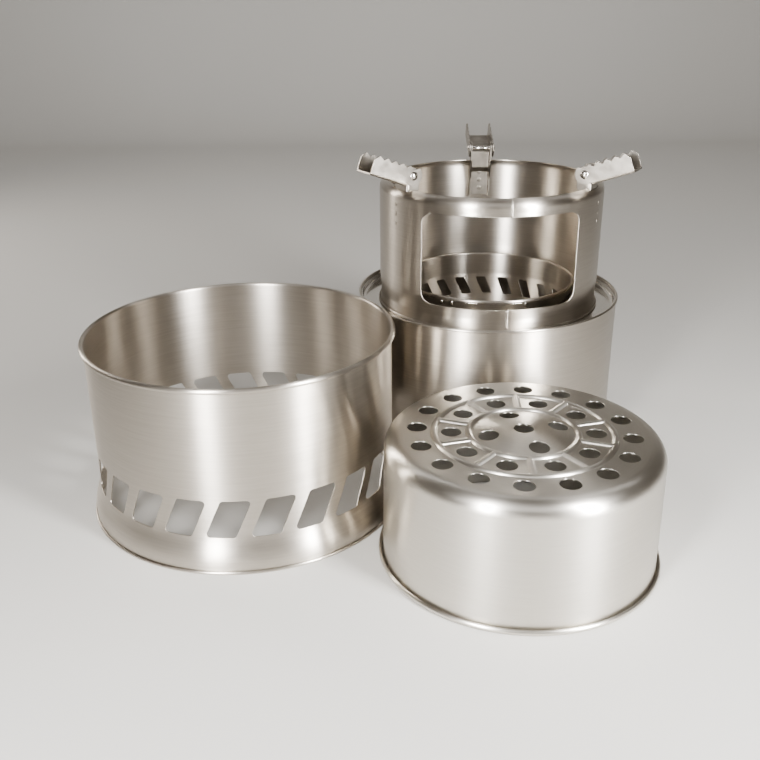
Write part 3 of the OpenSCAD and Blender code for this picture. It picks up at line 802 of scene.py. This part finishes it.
# Noise of brush lines and of cloudy spots: layers of detail, and strength of each finer layer
LINE_DETAIL = 3
LINE_FINENESS = 0.6
CLOUD_DETAIL = 2
CLOUD_FINENESS = 0.5
# How many times a brush line starts and stops within a radius's length round its axis
LINE_BREAKS = 3
# Share of a turn that draws the highlight out across the lines
ACROSS_LINES = 0.25


def metal(name):
    """New material with a metal surface. Also gives its node tree and its surface node."""
    material = bpy.data.materials.new(name)
    material.use_nodes = True
    surface = material.node_tree.nodes["Principled BSDF"]
    surface.inputs["Metallic"].default_value = 1
    return material, material.node_tree, surface


def vary(tree, surface, pattern, tones, roughness, depth):
    """Lets a pattern vary a surface's tone between two colours and its roughness between two values, and cut
    its face by depth mm."""
    tone = {0: pattern, 6: linear(tones[0]), 7: linear(tones[1])}
    rough = {"Value": pattern, "To Min": roughness[0], "To Max": roughness[1]}
    cut = {"Height": pattern, "Strength": 1, "Distance": depth * MM}
    varied = {
        "Base Color": add(tree, "ShaderNodeMix", tone, data_type="RGBA").outputs[2],
        "Roughness": add(tree, "ShaderNodeMapRange", rough).outputs["Result"],
        "Normal": add(tree, "ShaderNodeBump", cut).outputs["Normal"]}
    for key, output in varied.items():
        tree.links.new(output, surface.inputs[key])


def brushed_steel(name, axis, tones, roughness, anisotropy, grain, depth):
    """Stainless steel brushed in circles about an upright axis. Its lines follow places of the same height
    plus radius, so they run round walls and plates alike, about grain mm apart and depth mm deep. The
    highlight is drawn out across the lines by the anisotropy, with the tangent taken round the axis."""
    material, tree, surface = metal(name)
    here = add(tree, "ShaderNodeTexCoord", {}).outputs["Object"]
    shift = (-axis[0] * MM, -axis[1] * MM, 0)
    centred = add(tree, "ShaderNodeMapping", {"Vector": here, "Location": shift}).outputs["Vector"]
    level = {0: centred, 1: (1, 1, 0)}
    flat = add(tree, "ShaderNodeVectorMath", level, operation="MULTIPLY").outputs["Vector"]
    radius = add(tree, "ShaderNodeVectorMath", {0: flat}, operation="LENGTH").outputs["Value"]
    facing = add(tree, "ShaderNodeVectorMath", {0: flat}, operation="NORMALIZE").outputs["Vector"]
    sideways = {0: (0, 0, 1), 1: facing}
    around = add(tree, "ShaderNodeVectorMath", sideways, operation="CROSS_PRODUCT").outputs["Vector"]
    height = add(tree, "ShaderNodeSeparateXYZ", {"Vector": centred}).outputs["Z"]
    across = add(tree, "ShaderNodeMath", {0: height, 1: radius}, operation="ADD").outputs["Value"]
    counted = {0: across, 1: 1 / (grain * MM)}
    line_number = add(tree, "ShaderNodeMath", counted, operation="MULTIPLY").outputs["Value"]
    rise = add(tree, "ShaderNodeCombineXYZ", {"Z": line_number}).outputs["Vector"]
    turned = {0: facing, 1: (LINE_BREAKS, LINE_BREAKS, 0), 2: rise}
    lines_at = add(tree, "ShaderNodeVectorMath", turned, operation="MULTIPLY_ADD").outputs["Vector"]
    brushing = {"Vector": lines_at, "Scale": 1, "Detail": LINE_DETAIL, "Roughness": LINE_FINENESS}
    lines = add(tree, "ShaderNodeTexNoise", brushing).outputs["Fac"]
    vary(tree, surface, lines, tones, roughness, depth)
    surface.inputs["Anisotropic"].default_value = anisotropy
    surface.inputs["Anisotropic Rotation"].default_value = ACROSS_LINES
    tree.links.new(around, surface.inputs["Tangent"])
    return material


def pressed_steel(name, tones, roughness, grain, depth):
    """Stainless steel as it comes from the press, with cloudy spots and dents about grain mm wide."""
    material, tree, surface = metal(name)
    here = add(tree, "ShaderNodeTexCoord", {}).outputs["Object"]
    scale = 1 / (grain * MM)
    spots = {"Vector": here, "Scale": scale, "Detail": CLOUD_DETAIL, "Roughness": CLOUD_FINENESS}
    cloud = add(tree, "ShaderNodeTexNoise", spots).outputs["Fac"]
    vary(tree, surface, cloud, tones, roughness, depth)
    return material


# Brushed walls: upright bands of light with fine level lines
WALL_TONES = ("#b7b0a7", "#d0cac1")
base_steel = brushed_steel(
    "brushed_stainless_base", BASE_AXIS, WALL_TONES,
    roughness=(0.28, 0.38), anisotropy=0.93, grain=0.8, depth=0.002)
body_steel = brushed_steel(
    "brushed_stainless_body", BODY_AXIS, WALL_TONES,
    roughness=(0.27, 0.36), anisotropy=0.93, grain=0.6, depth=0.001)
# Satin bowl: softer and paler, its lines hardly seen
bowl_steel = brushed_steel(
    "satin_stainless_bowl", BOWL_AXIS, ("#cdc8c0", "#dad6ce"),
    roughness=(0.28, 0.36), anisotropy=0.75, grain=0.7, depth=0.001)
# Polished deck: nearly a mirror, with faint circles
deck_steel = brushed_steel(
    "polished_stainless_deck", BODY_AXIS, ("#d0ccc6", "#dad7d2"),
    roughness=(0.1, 0.16), anisotropy=0.3, grain=0.7, depth=0.0005)
# Pressed strip of arms and brackets: cloudy and uneven
strip_steel = pressed_steel(
    "mill_finish_stainless_strip", ("#9c968e", "#c6c1b9"), roughness=(0.24, 0.4), grain=4, depth=0.012)
# Bright rivets: small sharp glints
rivet_steel = pressed_steel(
    "bright_stainless_rivet", ("#cfcbc5", "#dcd9d4"), roughness=(0.14, 0.22), grain=2, depth=0.01)

vented_base(base_steel)
fire_bowl(bowl_steel)
body_wall(body_steel)
deck_and_collar(deck_steel)
slotted_throat(body_steel)
pot_ring(body_steel)
ring_seam(body_steel)
for arm_side, arm_pivot in zip(SIDES, PIVOTS):
    folding_arm(arm_side, arm_pivot, strip_steel)
    bracket(arm_side, arm_pivot, strip_steel)
    rivet_pin(arm_side, arm_pivot, rivet_steel)
bracket_spots = [(a, RING_TOP - drop) for a in AZIMUTHS for drop in SPOT_DROPS]
collar_spots = [(math.radians(a), DECK_Z + COLLAR_SPOT_Z) for a in COLLAR_SPOTS]
spot_welds("ring_spot_welds", "ring", body_steel, RING_R, bracket_spots)
spot_welds("bracket_spot_welds", "ring", strip_steel, WEB_R - STRIP_T, bracket_spots)
spot_welds("collar_spot_welds", "burner_body", deck_steel, COLLAR_R, collar_spots)


# Floor, light and camera

def area_light(name, where, target, size, power, colour="#ffffff"):
    """Soft rectangular light at a place, turned to a target."""
    lamp = bpy.data.lights.new(name, "AREA")
    lamp.shape = "RECTANGLE"
    lamp.size = size[0]
    lamp.size_y = size[1]
    lamp.energy = power
    lamp.color = linear(colour)[:3]
    holder = bpy.data.objects.new(name, lamp)
    bpy.context.scene.collection.objects.link(holder)
    holder.location = where
    away = np.array(where) - np.array(target)
    yaw = math.atan2(away[0], -away[1])
    tilt = math.atan2(math.hypot(away[0], away[1]), away[2])
    holder.rotation_euler = (tilt, 0, yaw)


# Pale floor that curves up behind the pieces into a low backdrop, in metres
SWEEP_HALF_W = 3
SWEEP_R = 0.25
SWEEP_BACK_Y = 1.25
SWEEP_TOP = 0.7

sweep = np.concatenate([
    [(-SWEEP_HALF_W, 0)],
    arc((SWEEP_BACK_Y - SWEEP_R, SWEEP_R), SWEEP_R, -90, 0, CURL_STEPS),
    [(SWEEP_BACK_Y, SWEEP_TOP)]])
sides = [np.insert(sweep, 0, x, axis=1) for x in (-SWEEP_HALF_W, SWEEP_HALF_W)]
last = len(sweep)
floor_mesh = bpy.data.meshes.new("floor")
floor_mesh.from_pydata(
    np.concatenate(sides).tolist(), [], [(i, last + i, last + i + 1, i + 1) for i in range(last - 1)])
floor_mesh.polygons.foreach_set("use_smooth", np.ones(len(floor_mesh.polygons), dtype=bool))
floor = bpy.data.objects.new("floor", floor_mesh)
bpy.context.scene.collection.objects.link(floor)
floor_paint = bpy.data.materials.new("pale_floor")
floor_paint.use_nodes = True
floor_surface = floor_paint.node_tree.nodes["Principled BSDF"]
floor_surface.inputs["Base Color"].default_value = linear("#c4c2be")
floor_surface.inputs["Roughness"].default_value = 0.7
floor_mesh.materials.append(floor_paint)

world = bpy.data.worlds.new("dim_room")
world.use_nodes = True
room = world.node_tree.nodes["Background"]
room.inputs["Color"].default_value = linear("#6c6761")
room.inputs["Strength"].default_value = 0.9
bpy.context.scene.world = world
# The photograph has more contrast than the default look gives
bpy.context.scene.view_settings.look = "AgX - Medium High Contrast"

# Lights, in metres and watts: three upright strips that draw the bands of light on the walls, and two washes
# that brighten the backdrop and the floor in front
middle = (0, 0, 0.07)
area_light("front_strip", (-0.175, -0.43, 0.22), middle, size=(0.08, 0.4), power=3.6)
area_light("right_strip", (0.33, -0.36, 0.22), middle, size=(0.09, 0.4), power=5.6)
area_light("left_strip", (-0.6, 0.42, 0.35), middle, size=(0.12, 0.5), power=1.4, colour="#fff8f0")
area_light("backdrop_wash", (0, 0.45, 0.9), (0, 1.1, 0.1), size=(1.8, 0.2), power=4)
area_light("floor_wash", (0, -1.6, 1.3), (0, -1.8, 0), size=(4, 1.6), power=24)

# Camera fitted to the rims and lips: distances from the burner body's axis, pitch, roll and focal length
CAMERA_FROM_BODY = (-54.93, -446.84)
CAMERA_Z = 213.26
CAMERA_PITCH = 23.15
CAMERA_ROLL = -0.48
CAMERA_FOCAL_PX = 910.654
PHOTO_PX = 760
SENSOR = 36

camera = bpy.data.cameras.new("camera")
camera.sensor_width = SENSOR
camera.lens = CAMERA_FOCAL_PX / PHOTO_PX * SENSOR
camera.clip_start = 0.01
eye = bpy.data.objects.new("camera", camera)
bpy.context.scene.collection.objects.link(eye)
pitched = Matrix.Rotation(math.radians(90 - CAMERA_PITCH), 4, "X")
rolled = Matrix.Rotation(math.radians(CAMERA_ROLL), 4, "Z")
stand = Matrix.Translation((*(BODY_AXIS + CAMERA_FROM_BODY) * MM, CAMERA_Z * MM))
eye.matrix_world = stand @ pitched @ rolled
bpy.context.scene.camera = eye
